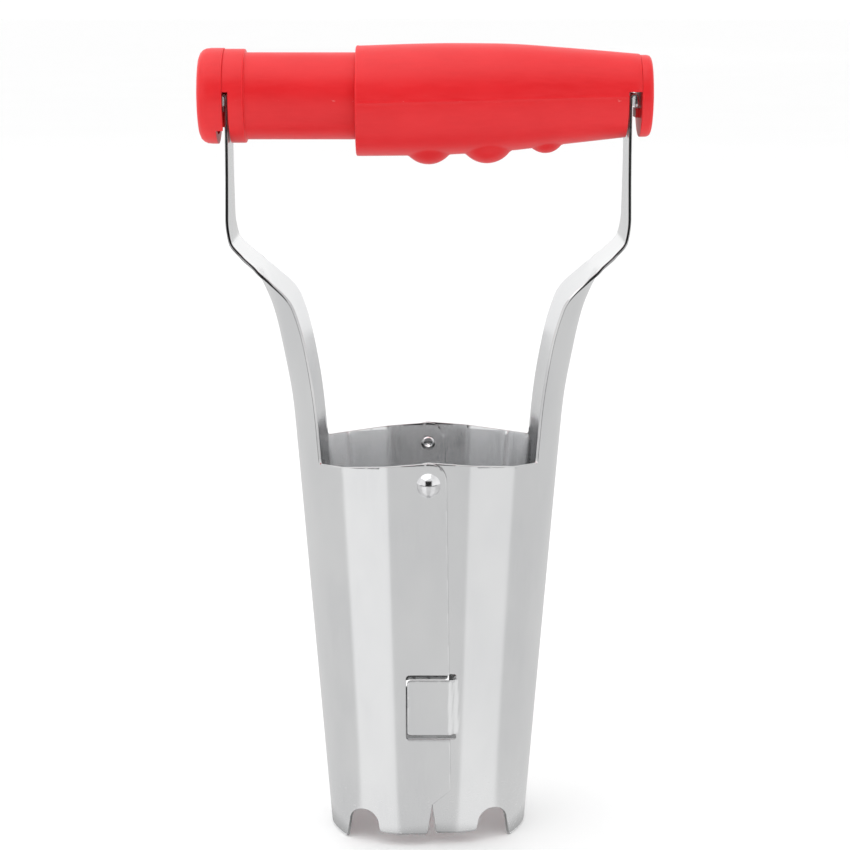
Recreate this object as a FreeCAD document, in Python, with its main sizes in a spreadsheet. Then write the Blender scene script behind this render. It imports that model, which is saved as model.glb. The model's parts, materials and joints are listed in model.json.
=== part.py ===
import FreeCAD, Part

# Hand transplanter (squeeze-release bulb planter).
#
# Two identical pressed steel halves lap over each other at the front and the back, turn on two
# rivets just under the rim, and carry on upwards as arms whose rolled tips hook into a telescopic
# plastic handle.  Squeezing the handle slides its tube into its grip, swings both arms inwards and
# so opens the barrel at the bottom.
#
# Frame: +X to the right along the handle, +Z up, front of the tool towards -Y.
# Origin: centre of the barrel's mouth, at the level of the lowest teeth.  Units: mm.

import Sketcher

import math
import os

Vector = FreeCAD.Vector

SIZES = [
    # pressed steel halves
    ("sheet", 0.9),                   # thickness of the steel
    ("lap_gap", 0.3),                 # play between the two lapped flanges
    ("rim_height", 111.0),            # level of the rim beside the arms
    ("seam_rise", 1.9),               # how much higher the rim stands at the rivets
    ("rim_half_width", 37.0),         # along X, at rim_height
    ("rim_half_depth", 29.4),         # along Y, at rim_height
    ("bottom_half_width", 28.3),
    ("bottom_half_depth", 22.5),
    ("front_facet_half", 11.5),       # half width of the flat facet, front and back
    ("shoulder_x", 24.0),             # crease between the next two facets
    ("shoulder_y", 25.5),
    ("corner_x", 30.2),               # crease between the facets and the round side
    ("corner_y", 20.9),
    ("crease_radius", 8.0),           # outside bend radius of the two front creases
    ("rise_start", 24.0),             # where the rim starts to climb towards the rivet
    ("lap_rim", 5.0),                 # how far a flange reaches past the middle, at the rim
    ("lap_bottom", 6.6),              # and at the bottom
    ("lap_corner_radius", 5.0),
    # cutting edge
    ("tooth_step", 3.5),              # level of the teeth beside the seam
    ("vee_height", 12.5),             # top of the V notch at each seam
    ("vee_offset", 1.0),              # how far the V notch stands off the middle
    ("vee_half_width", 1.2),          # at the teeth
    ("scallop_height", 10.2),
    ("scallop_half_width", 5.9),
    # closing tongue and its notch
    ("notch_low", 32.2),
    ("notch_high", 51.7),
    ("notch_reach", 6.3),             # notch's closed end, past the middle
    ("tongue_gap", 1.65),             # above and below the tongue
    ("tongue_end_gap", 0.35),
    ("tongue_ramp", 1.8),             # run of the bend that lifts the tongue flush
    # rivets
    ("rivet_drop", 6.1),              # rivets, below the rim there
    ("rivet_radius", 1.5),
    ("rivet_play", 0.05),
    ("rivet_head_radius", 3.35),
    ("rivet_head_height", 1.9),
    ("rivet_tail_radius", 2.1),
    ("rivet_tail_height", 0.9),
    # arms
    ("knee_rise", 64.5),              # from the rim to where the arms turn upright
    ("arm_reach", 55.8),              # outer face of an upright arm, from the middle
    ("arm_tip_half", 7.5),            # half width at the tip
    ("hook_gap", 0.8),                # inside the rolled tip
    ("hook_leg", 2.5),                # straight part that comes back down
    # handle
    ("handle_rise", 35.0),            # axis of the handle, above the knees
    ("hook_rise", 1.0),               # top of the rolled tips above that axis
    ("squeeze_angle", 7.5),           # how far each arm turns, degrees
    ("tube_radius", 11.9),
    ("tube_wall", 2.0),
    ("tube_insertion", 26.0),         # length of tube inside the grip when closed
    ("band_step", 0.95),              # band, past the tube's radius
    ("band_width", 5.8),
    ("band_round", 0.5),
    ("tube_lip", 0.3),                # tube's end face, past the arm
    ("left_cap_length", 7.1),
    ("left_cap_step", 1.2),           # cap, past the tube's radius
    ("left_cap_round", 3.5),
    ("left_cap_wall", 2.6),
    ("grip_start", 20.0),             # open end of the grip, left of the middle
    ("grip_lip", 2.35),               # grip's end face, past the arm
    ("grip_mouth_step", 2.8),         # outside of the grip past its bore, at the open end
    ("grip_belly_step", 3.0),         # over the middle of the tool
    ("grip_palm_step", 2.5),
    ("grip_neck_step", 0.8),
    ("grip_end_step", -1.1),          # at its closed end, which is narrower than the bore
    ("grip_drop", 1.4),               # how far the open end's outside hangs below the axis
    ("finger_pitch", 16.2),           # from one finger bump to the next
    ("finger_swell", 3.5),            # how far the bumps stand out past the belly
    ("finger_middle_rise", 0.3),      # how much higher the second bump ends
    ("finger_last_rise", 3.1),        # and the third
    ("finger_first_radius", 7.6),
    ("finger_middle_radius", 8.0),
    ("finger_last_radius", 5.5),
    ("bore_play", 0.4),               # tube in grip
    ("right_cap_length", 3.15),
    ("right_cap_round", 1.8),
    ("slot_play", 0.45),              # beside an arm, inside the slots
    ("slot_rise", 1.5),               # top of the slots above the axis
    ("seat_wall", 2.0),               # walls that hold the spring
    ("stub_wall", 3.2),               # round the hollow end of the grip
    ("stub_depth", 11.6),             # its depth, with the spring's wall
    ("plug_wall", 2.5),               # half-round plugs of the caps
    ("plug_arc", 130.0),
    ("fused", 0.5),                   # how far joined features reach into each other
    ("end_play", 0.2),                # plugs and spring, short of the walls they face
    ("nib_half", 4.0),
    ("nib_height", 2.5),
    ("relief_drop", 4.5),             # top of the left cap's swing relief, below the axis
    ("relief_play", 1.9),             # beside the arm, in that relief
    # return spring
    ("spring_play", 1.9),             # round the spring, in the tube
    ("wire_radius", 0.6),
    ("spring_turns", 16.0),
]

# levels that follow one another up the tool, and radii that follow from the tube's
SEAM = "(rim_height + seam_rise)"
RIVET = "(rim_height + seam_rise - rivet_drop)"
KNEE = "(rim_height + knee_rise)"
AXIS = "(rim_height + knee_rise + handle_rise)"
TUBE_BORE = "(tube_radius - tube_wall)"
BAND_RADIUS = "(tube_radius + band_step)"
LEFT_CAP_RADIUS = "(tube_radius + left_cap_step)"
GRIP_BORE = "(tube_radius + bore_play)"
GRIP_BELLY = "(tube_radius + bore_play + grip_belly_step)"
GRIP_END_RADIUS = "(tube_radius + bore_play + grip_end_step)"
STUB_BORE = "(tube_radius + bore_play + grip_end_step - stub_wall)"
SPRING_RADIUS = "(tube_radius - tube_wall - spring_play - wire_radius)"

doc = FreeCAD.newDocument("hand_transplanter")
sheet = doc.addObject("Spreadsheet::Sheet", "Sizes")
for row, (alias, size) in enumerate(SIZES, start=1):
    sheet.set("A%d" % row, alias)
    sheet.set("B%d" % row, str(size))
    sheet.setAlias("B%d" % row, alias)
doc.recompute()


def size(formula):
    """Value of a formula written with the sheet's names."""
    return float(sheet.evalExpression(bound(formula)))


def bound(formula):
    """The same formula with every name tied to the sheet, as an expression."""
    text = " " + formula + " "
    for mark in "()+-*/":
        text = text.replace(mark, " " + mark + " ")
    aliases = {alias for alias, _ in SIZES}
    words = ["Sizes." + word if word in aliases else word for word in text.split()]
    return " ".join(words).replace("sin (", "sin(").replace("cos (", "cos(")


# ---------------------------------------------------------------- helpers for sketched bodies

def new_body(label, height=None):
    """An empty body; height is a formula for how high its own origin stands."""
    body = doc.addObject("PartDesign::Body", label)
    body.Label = label
    if height:
        body.setExpression("Placement.Base.z", bound(height))
    return body


def plane(body, role):
    return next(item for item in body.Origin.OriginFeatures if item.Role == role)


def new_sketch(body, name, role, offset=None):
    sketch = body.newObject("Sketcher::SketchObject", name)
    sketch.AttachmentSupport = [(plane(body, role), "")]
    sketch.MapMode = "FlatFace"
    if offset:
        sketch.setExpression("AttachmentOffset.Base.z", bound(offset))
    return sketch


def tie_point(sketch, edge, end, across, up):
    """Holds one end of a sketch edge at two formulas."""
    for kind, formula in (("DistanceX", across), ("DistanceY", up)):
        index = sketch.addConstraint(Sketcher.Constraint(kind, -1, 1, edge, end, size(formula)))
        sketch.setExpression("Constraints[%d]" % index, bound(formula))


def draw_polygon(sketch, corners):
    """A closed outline whose corners are pairs of formulas."""
    count = len(corners)
    for index, (across, up) in enumerate(corners):
        next_across, next_up = corners[(index + 1) % count]
        start = Vector(size(across), size(up), 0)
        end = Vector(size(next_across), size(next_up), 0)
        sketch.addGeometry(Part.LineSegment(start, end), False)
    for index, (across, up) in enumerate(corners):
        sketch.addConstraint(Sketcher.Constraint("Coincident", index, 1, (index - 1) % count, 2))
        tie_point(sketch, index, 1, across, up)


def draw_circle(sketch, across, up, radius):
    centre = Vector(size(across), size(up), 0)
    sketch.addGeometry(Part.Circle(centre, Vector(0, 0, 1), size(radius)), False)
    tie_point(sketch, 0, 3, across, up)
    index = sketch.addConstraint(Sketcher.Constraint("Radius", 0, size(radius)))
    sketch.setExpression("Constraints[%d]" % index, bound(radius))


def turn_on_axis(body, name, sketch, kind="PartDesign::Revolution"):
    feature = body.newObject(kind, name)
    feature.Profile = sketch
    feature.ReferenceAxis = (sketch, ["H_Axis"])
    feature.Angle = 360
    return feature


def turned(body, name, corners, kind="PartDesign::Revolution"):
    """An outline in the XZ plane turned about the body's X axis; up is the radius."""
    sketch = new_sketch(body, name + "_outline", "XZ_Plane")
    draw_polygon(sketch, corners)
    return turn_on_axis(body, name, sketch, kind)


def through(body, name, kind, corners, depth):
    """A pad or pocket with an outline in the XZ plane, half its depth each way."""
    sketch = new_sketch(body, name + "_outline", "XZ_Plane")
    draw_polygon(sketch, corners)
    feature = body.newObject(kind, name)
    feature.Profile = sketch
    feature.Midplane = True
    feature.setExpression("Length", bound(depth))
    return feature


def rounded(body, name, base, chosen, radius):
    """A fillet on the edges of base for which chosen(edge) is true."""
    doc.recompute()
    names = ["Edge%d" % n for n, edge in enumerate(base.Shape.Edges, start=1) if chosen(edge)]
    fillet = body.newObject("PartDesign::Fillet", name)
    fillet.Base = (base, names)
    fillet.setExpression("Radius", bound(radius))
    return fillet


def is_ring(across, radius):
    """A test for full circles about X that stand at across."""
    def test(edge):
        curve = edge.Curve
        return (
            isinstance(curve, Part.Circle)
            and abs(curve.Axis.x) > 0.99
            and abs(curve.Center.x - size(across)) < 0.01
            and abs(curve.Radius - size(radius)) < 0.01
        )
    return test


# ---------------------------------------------------------------- pressed steel halves

def between(low, high, share):
    return low + (high - low) * share


def half_section(level):
    """Outer and inner corners of the left half at a level, from the front lap to the side."""
    share = level / size("rim_height")
    across = between(size("bottom_half_width") / size("rim_half_width"), 1.0, share)
    along = between(size("bottom_half_depth") / size("rim_half_depth"), 1.0, share)
    lap = between(size("lap_bottom"), size("lap_rim"), share)
    half_depth = size("rim_half_depth") * along
    outer = [
        Vector(lap, -half_depth, level),
        Vector(-size("front_facet_half") * across, -half_depth, level),
        Vector(-size("shoulder_x") * across, -size("shoulder_y") * along, level),
        Vector(-size("corner_x") * across, -size("corner_y") * along, level),
        Vector(-size("rim_half_width") * across, 0, level),
    ]
    corner, side = outer[3], outer[4]
    inner = [outer[0] + Vector(0, size("sheet"), 0)]
    for before, here, after in zip(outer, outer[1:3], outer[2:4]):
        normals = [(b - a).cross(Vector(0, 0, 1)).normalize() * -1
                   for a, b in ((before, here), (here, after))]
        if normals[0].y < 0:
            normals = [normal * -1 for normal in normals]
        inner.append(here + (normals[0] + normals[1])
                     * (size("sheet") / (1 + normals[0].dot(normals[1]))))
    inner.append(corner + curl_inset(corner.x - side.x, -corner.y, -1))
    inner.append(side + Vector(size("sheet"), 0, 0))
    return outer, inner


def curl_inset(curl, half_width, side, inward=Vector(1, 0, 0)):
    """Step from the outer to the inner edge of a strip curled into a parabola."""
    slope = math.atan2(2 * curl, half_width)
    return (inward * math.cos(slope) - Vector(0, side * math.sin(slope), 0)) * size("sheet")


def curled_edge(start, crown, end):
    """A parabola through a crown point, between two edge points."""
    curve = Part.BezierCurve()
    curve.setPoles([start, crown * 2 - (start + end) * 0.5, end])
    return curve.toShape()


def mirrored(point):
    return Vector(point.x, -point.y, point.z)


def bent_edges(corners, radius):
    """Edges along a run of corners, with an arc of the radius at each one inside the run."""
    edges = []
    start = corners[0]
    for before, here, after in zip(corners, corners[1:-1], corners[2:]):
        back = (before - here).normalize()
        ahead = (after - here).normalize()
        half_turn = (math.pi - back.getAngle(ahead)) / 2
        reach = radius * math.tan(half_turn)
        hub = here + (back + ahead).normalize() * (radius / math.cos(half_turn))
        middle = hub + (here - hub).normalize() * radius
        edges.append(Part.makeLine(start, here + back * reach))
        edges.append(Part.Arc(here + back * reach, middle, here + ahead * reach).toShape())
        start = here + ahead * reach
    edges.append(Part.makeLine(start, corners[-1]))
    return edges


def section_wire(level):
    """Closed outline of the sheet at a level: once round outside and back inside."""
    outer, inner = half_section(level)

    def one_way(run, radius):
        front = bent_edges(run[:4], radius)
        side = curled_edge(run[3], run[4], mirrored(run[3]))
        back = bent_edges([mirrored(point) for point in reversed(run[:4])], radius)
        return front + [side] + back

    outside = one_way(outer, size("crease_radius"))
    inside = one_way(inner, size("crease_radius") - size("sheet"))
    ends = [
        Part.makeLine(mirrored(outer[0]), mirrored(inner[0])),
        Part.makeLine(inner[0], outer[0]),
    ]
    return Part.Wire(outside + [ends[0]] + list(reversed(inside)) + [ends[1]])


def prism(outline, start, end):
    """A solid with an outline in XZ, from one Y to another."""
    face = Part.Face(outline if isinstance(outline, Part.Wire) else closed(outline, start))
    return face.extrude(Vector(0, end - start, 0))


def closed(corners, depth):
    points = [Vector(across, depth, up) for across, up in corners]
    return Part.makePolygon(points + points[:1])


def rim_cutter(reach):
    """Everything above the rim, with the flange's top corner rounded off."""
    rim, top = size("rim_height"), size(SEAM)
    lap, radius = size("lap_rim"), size("lap_corner_radius")
    ceiling = top + radius
    swing = radius * math.sqrt(0.5)
    hub = Vector(lap - radius, -reach, top - radius)
    points = [
        Vector(-2 * size("rim_half_width"), -reach, rim),
        Vector(-size("rise_start"), -reach, rim),
        hub + Vector(0, 0, radius),
        hub + Vector(radius, 0, 0),
        Vector(3 * lap, -reach, top - radius),
        Vector(3 * lap, -reach, ceiling),
        Vector(-2 * size("rim_half_width"), -reach, ceiling),
    ]
    corner = Part.Arc(points[2], hub + Vector(swing, 0, swing), points[3]).toShape()
    edges = [Part.makeLine(points[0], points[1]), Part.makeLine(points[1], points[2]), corner]
    edges += [Part.makeLine(a, b) for a, b in zip(points[3:], points[4:] + points[:1])]
    return prism(Part.Wire(edges), -reach, reach)


def flange_foot_cutter(offset, start, end):
    """Trims a flange's lower corner and leaves half of the V notch beside it."""
    far = 2 * size("lap_bottom")
    apex, step = size("vee_height"), size("tooth_step")
    lap = size("lap_bottom")
    return prism([
        (far, apex + (far - offset) * (lap - size("vee_offset")) / lap),
        (offset, apex),
        (offset - size("vee_half_width"), step),
        (offset - 2 * size("vee_half_width"), -step),
        (far, -step),
    ], start, end)


def scallop_cutter(side):
    """A round-topped notch through the shoulder; side is -1 at the front and +1 at the back."""
    outer, _ = half_section(0)
    shoulder = Vector(outer[2].x, side * abs(outer[2].y), 0)
    half, top = size("scallop_half_width"), size("scallop_height")
    radius = 0.8 * half
    neck = top - radius
    thick = 3 * half
    arc = Part.Arc(Vector(-radius, 0, neck), Vector(0, 0, top), Vector(radius, 0, neck)).toShape()
    lines = Part.makePolygon([
        Vector(radius, 0, neck),
        Vector(half, 0, 0),
        Vector(half, 0, -half),
        Vector(-half, 0, -half),
        Vector(-half, 0, 0),
        Vector(-radius, 0, neck),
    ])
    notch = Part.Face(Part.Wire([arc] + lines.Edges)).extrude(Vector(0, thick, 0))
    notch.translate(Vector(0, -thick / 2, 0))
    facet_one = outer[1] - outer[2]
    facet_two = outer[2] - outer[3]
    turn = (math.atan2(abs(facet_one.y), abs(facet_one.x))
            + math.atan2(abs(facet_two.y), abs(facet_two.x))) / 2
    notch.rotate(Vector(0, 0, 0), Vector(0, 0, 1), side * math.degrees(turn))
    notch.translate(shoulder)
    return notch


def tongue(lift):
    """The strip of the back flange that is lifted flush with the other half's flange."""
    wires = []
    root = -(size("notch_reach") - size("tongue_end_gap")) - size("tongue_ramp")
    for level in (size("notch_low") + size("tongue_gap"), size("notch_high") - size("tongue_gap")):
        outer, _ = half_section(level)
        face = -outer[0].y
        thick = size("sheet")
        ramp = size("tongue_ramp")
        points = [
            Vector(root - thick, face, level),
            Vector(root, face, level),
            Vector(root + ramp, face + lift, level),
            Vector(size("notch_reach") - size("tongue_end_gap"), face + lift, level),
            Vector(size("notch_reach") - size("tongue_end_gap"), face + lift - thick, level),
            Vector(root + ramp, face + lift - thick, level),
            Vector(root, face - thick, level),
            Vector(root - thick, face - thick, level),
        ]
        wires.append(Part.makePolygon(points + points[:1]))
    return Part.makeLoft(wires, True, True), root


def arm_shape():
    """Reach, level, lean in degrees, depth of the curl and half width, from the rim to the top.

    Lean is how far the strip leans out of the upright.  The strip is curled where it grows out of
    the barrel and goes flat before the knee.  Reaches and levels follow the rim and the knee.
    """
    flat = 0.05
    curl = size("rim_half_width") - size("corner_x")
    base, reach = size("rim_half_width"), size("arm_reach")
    rim, knee = size("rim_height"), size(KNEE)
    wide, tip = size("corner_y"), size("arm_tip_half")
    shares = [
        # reach, level, lean, curl, width
        (0.000, 0.000, 0, 1.00, 1.00),
        (0.072, 0.233, 4, 0.99, 0.89),
        (0.200, 0.450, 12, 1.01, 0.78),
        (0.328, 0.620, 20, 0.91, 0.70),
        (0.478, 0.741, 35, 0.38, 0.60),
        (0.578, 0.806, 42, 0.07, 0.53),
        (0.778, 0.868, 46, 0.00, 0.43),
        (0.950, 0.930, 25, 0.00, 0.35),
        (1.000, 1.030, 3, 0.00, 0.25),
    ]
    shape = [
        (between(base, reach, out), between(rim, knee, up), lean,
         max(flat, curl * deep), between(tip, wide, width))
        for out, up, lean, deep, width in shares
    ]
    top = size(AXIS) + size("hook_rise") - bend_radius()
    shape.append((reach, between(knee, top, 0.45), 0, flat, between(tip, wide, 0.08)))
    shape.append((reach, top, 0, flat, tip))
    return shape


def eased(stops, values, place):
    """Smooth value at a place between stops: a cubic that never overshoots its neighbours."""
    gaps = [b - a for a, b in zip(stops, stops[1:])]
    slopes = [(b - a) / gap for a, b, gap in zip(values, values[1:], gaps)]
    leans = [slopes[0]]
    for one, two in zip(slopes, slopes[1:]):
        leans.append(2 * one * two / (one + two) if one * two > 0 else 0.0)
    leans.append(slopes[-1])
    index = max(n for n in range(len(gaps)) if n == 0 or place >= stops[n])
    gap = gaps[index]
    step = min(1.0, (place - stops[index]) / gap)
    start, end = values[index], values[index + 1]
    pull, push = leans[index] * gap, leans[index + 1] * gap
    return (start + pull * step + (3 * (end - start) - 2 * pull - push) * step ** 2
            + (2 * (start - end) + pull + push) * step ** 3)


def arm_stations(count=26):
    """The arm's shape at evenly spaced places along its length."""
    shape = arm_shape()
    stops = [0.0]
    for before, after in zip(shape, shape[1:]):
        stops.append(stops[-1] + math.hypot(after[0] - before[0], after[1] - before[1]))
    places = [stops[-1] * n / (count - 1) for n in range(count)]
    return [[eased(stops, column, place) for column in zip(*shape)] for place in places]


def bend_radius():
    """Outside radius of the rolled tip."""
    return size("hook_gap") / 2 + size("sheet")


def arm_wire(reach, level, lean, curl, half_width):
    """Closed outline of the strip at one station."""
    thick = size("sheet")
    inward = Vector(math.cos(math.radians(lean)), 0, math.sin(math.radians(lean)))
    crown = Vector(-reach, 0, level)
    edges = [crown + inward * curl + Vector(0, side * half_width, 0) for side in (-1, 1)]
    inset = [edge + curl_inset(curl, half_width, side, inward)
             for edge, side in zip(edges, (-1, 1))]
    return Part.Wire([
        curled_edge(edges[0], crown, edges[1]),
        Part.makeLine(edges[1], inset[1]),
        curled_edge(inset[1], crown + inward * thick, inset[0]),
        Part.makeLine(inset[0], edges[0]),
    ])


def rolled_tip():
    """The arm's end, rolled outwards and brought back down."""
    thick, gap = size("sheet"), size("hook_gap")
    outside = bend_radius()
    half = size("arm_tip_half")
    hub = Vector(-size("arm_reach") - gap / 2, -half, size(AXIS) + size("hook_rise") - outside)
    ring = Part.makeCylinder(outside, 2 * half, hub, Vector(0, 1, 0))
    ring = ring.cut(Part.makeCylinder(gap / 2, 2 * half, hub, Vector(0, 1, 0)))
    below = Part.makeBox(4 * outside, 2 * half, 2 * outside,
                         hub - Vector(2 * outside, 0, 2 * outside))
    leg = Part.makeBox(thick, 2 * half, size("hook_leg"),
                       hub - Vector(outside, 0, size("hook_leg")))
    return ring.cut(below).fuse(leg)


def pressed_half():
    """The left half: barrel shell, lapped flanges, cutting edge, tongue, and arm."""
    reach = 2 * size("rim_half_depth")
    lift = size("sheet") + size("lap_gap")
    shell_top = size(SEAM) + 1
    half = Part.makeLoft([section_wire(0), section_wire(shell_top)], True, True)

    lap = size("lap_bottom")
    step_end = half_section(0)[0][2].x
    cutters = [
        rim_cutter(reach),
        flange_foot_cutter(size("vee_offset"), -reach, 0),
        flange_foot_cutter(-size("vee_offset"), 0, reach),
        scallop_cutter(-1),
        scallop_cutter(1),
        prism([(step_end, -1), (lap * 2, -1), (lap * 2, size("tooth_step")),
               (step_end, size("tooth_step"))], -reach, reach),
        prism([(-size("notch_reach"), size("notch_low")), (lap * 2, size("notch_low")),
               (lap * 2, size("notch_high")), (-size("notch_reach"), size("notch_high"))],
              -reach, 0),
        Part.makeCylinder(size("rivet_radius") + size("rivet_play"), 2 * reach,
                          Vector(0, -reach, size(RIVET)), Vector(0, 1, 0)),
    ]
    lifted, root = tongue(lift)
    cutters.append(prism([(root, size("notch_low")), (lap * 2, size("notch_low")),
                          (lap * 2, size("notch_high")), (root, size("notch_high"))],
                         0, reach))
    for cutter in cutters:
        half = half.cut(cutter)

    arm = Part.makeLoft([arm_wire(*station) for station in arm_stations()], True, False)
    return half.fuse([lifted, arm, rolled_tip()]).removeSplitter()


def add_pressed_half(label, shape, turn):
    """Both halves are one stamping: the second is turned half round, and each stands half a
    flange's lift off the middle, so that each laps outside at its own front and inside behind."""
    feature = doc.addObject("Part::Feature", label)
    feature.Label = label
    feature.Shape = shape
    spin = FreeCAD.Rotation(Vector(0, 0, 1), turn)
    step = Vector(0, -(size("sheet") + size("lap_gap")) / 2, 0)
    feature.Placement = FreeCAD.Placement(spin.multVec(step), spin)
    return feature


# ---------------------------------------------------------------- rivets

def flange_depth(level):
    """Formula for how far out the flanges stand at a level."""
    return "(bottom_half_depth + (rim_half_depth - bottom_half_depth) * (" + level + ") / rim_height)"


HEAD_SEAT = ("(" + flange_depth(RIVET + " + rivet_head_radius")
             + " + (sheet + lap_gap) / 2 + rivet_play)")
TAIL_SEAT = ("(" + flange_depth(RIVET + " - rivet_tail_radius")
             + " - (sheet + lap_gap) / 2 - sheet - rivet_play)")


def add_rivet(label, turn):
    """A dome-headed rivet: head outside, tail upset over the inner flange."""
    body = new_body(label)
    body.Placement = FreeCAD.Placement(Vector(0, 0, 0), Vector(0, 0, 1), turn)
    body.setExpression("Placement.Base.z", bound(RIVET))
    tail = TAIL_SEAT + " - rivet_tail_height"
    head = HEAD_SEAT + " + rivet_head_height"
    blank = turned(body, label + "_blank", [
        (tail, "0"), (tail, "rivet_tail_radius"), (TAIL_SEAT, "rivet_tail_radius"),
        (TAIL_SEAT, "rivet_radius"), (HEAD_SEAT, "rivet_radius"),
        (HEAD_SEAT, "rivet_head_radius"), (head, "rivet_head_radius"), (head, "0"),
    ])
    dome = rounded(body, label + "_dome", blank, is_ring(head, "rivet_head_radius"),
                   "rivet_head_height * 0.9")
    rounded(body, label + "_tail", dome, is_ring(tail, "rivet_tail_radius"),
            "rivet_tail_height * 0.6")
    return body


# ---------------------------------------------------------------- handle

SQUEEZE = "squeeze_angle * 1 deg"
TUBE_FACE = "(arm_reach + tube_lip)"
BAND_END = "(arm_reach + tube_lip - band_width)"
GRIP_FACE = "(arm_reach + grip_lip)"
SPRING_SEAT = "(arm_reach + grip_lip - stub_depth)"
HOOK_LEVEL = "(hook_rise - hook_gap / 2 - sheet)"
STROKE = ("(2 * (arm_reach + hook_gap / 2) * (1 - cos(" + SQUEEZE + "))"
          " + 2 * (" + AXIS + " + " + HOOK_LEVEL + " - " + RIVET + ") * sin(" + SQUEEZE + "))")
NIB_TOP = "(" + HOOK_LEVEL + " - hook_leg - slot_play)"
NIB_REACH = "(arm_reach + (hook_leg + slot_play + nib_height) * sin(" + SQUEEZE + ") + slot_play)"


def add_handle_tube():
    """The sliding half of the handle, with a band at its outer end and a wall for the spring."""
    body = new_body("handle_tube", AXIS)
    face, band = "-" + TUBE_FACE, "-" + BAND_END
    wall_in = band + " - seat_wall / 2"
    wall_out = band + " + seat_wall / 2"
    end = "-grip_start + tube_insertion"
    solid = turned(body, "tube_turned", [
        (face, TUBE_BORE), (face, BAND_RADIUS), (band, BAND_RADIUS), (band, "tube_radius"),
        (end, "tube_radius"), (end, TUBE_BORE), (wall_out, TUBE_BORE), (wall_out, "0"),
        (wall_in, "0"), (wall_in, TUBE_BORE),
    ])
    rounded(body, "band_edges", solid, is_ring(band, BAND_RADIUS), "band_round")
    slot_in = "-arm_reach + sheet + slot_play"
    past = face + " - fused"
    below = "-2 * " + BAND_RADIUS
    through(body, "arm_slot", "PartDesign::Pocket", [
        (past, below), (slot_in, below), (slot_in, "slot_rise"), (past, "slot_rise"),
    ], "4 * " + BAND_RADIUS)
    return body


def add_plug(body, deep, wall, bore, grip_radius, end):
    """A half-round plug over the arm's tip: it fills the bore and joins the cap's wall."""
    inside = bore + " - plug_wall"
    plug = turned(body, "plug", [
        (deep, inside), (deep, grip_radius), (wall, grip_radius), (wall, bore),
        (end, bore), (end, inside),
    ])
    plug.Midplane = True
    plug.setExpression("Angle", bound("plug_arc"))
    return plug


def add_nib(body, deep, end):
    """The tooth under the rolled tip that keeps the arm from pulling out."""
    low = NIB_TOP + " - nib_height"
    return through(body, "nib", "PartDesign::Pad", [
        (deep, low), (end, low), (end, NIB_TOP), (deep, NIB_TOP),
    ], "2 * nib_half")


def add_left_cap():
    """A hollow domed cap, cleared at the bottom for the swing of the arm."""
    body = new_body("left_end_cap", AXIS)
    face = "-" + TUBE_FACE
    end = face + " - left_cap_length"
    floor = end + " + left_cap_wall"
    inside = "(" + LEFT_CAP_RADIUS + " - left_cap_wall)"
    cup = turned(body, "cup", [
        (face, inside), (face, LEFT_CAP_RADIUS),
        (end, LEFT_CAP_RADIUS), (end, "0"), (floor, "0"), (floor, inside),
    ])
    rounded(body, "dome", cup, is_ring(end, LEFT_CAP_RADIUS), "left_cap_round")
    add_plug(body, floor, face, TUBE_BORE, inside + " + fused",
             "-" + BAND_END + " - seat_wall / 2 - end_play")
    add_nib(body, floor, "-" + NIB_REACH)
    swing = ("-arm_reach - (" + LEFT_CAP_RADIUS + " + hook_rise) * sin(" + SQUEEZE + ")"
             " - slot_play")
    below = "-2 * " + LEFT_CAP_RADIUS
    through(body, "swing_relief", "PartDesign::Pocket", [
        (swing, below), (face + " + fused", below),
        (face + " + fused", "-relief_drop"), (swing, "-relief_drop"),
    ], "2 * (arm_tip_half + relief_play)")
    return body


def add_right_cap():
    """A shallow domed cap on the closed end of the grip."""
    body = new_body("right_end_cap", AXIS)
    end = GRIP_FACE + " + right_cap_length"
    root = GRIP_FACE + " + fused"
    disc = turned(body, "disc", [
        (GRIP_FACE, "0"), (GRIP_FACE, GRIP_END_RADIUS), (end, GRIP_END_RADIUS), (end, "0"),
    ])
    rounded(body, "dome", disc, is_ring(end, GRIP_END_RADIUS), "right_cap_round")
    add_plug(body, root, GRIP_FACE, STUB_BORE, STUB_BORE + " + fused",
             SPRING_SEAT + " + seat_wall + end_play")
    add_nib(body, root, NIB_REACH)
    return body


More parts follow.
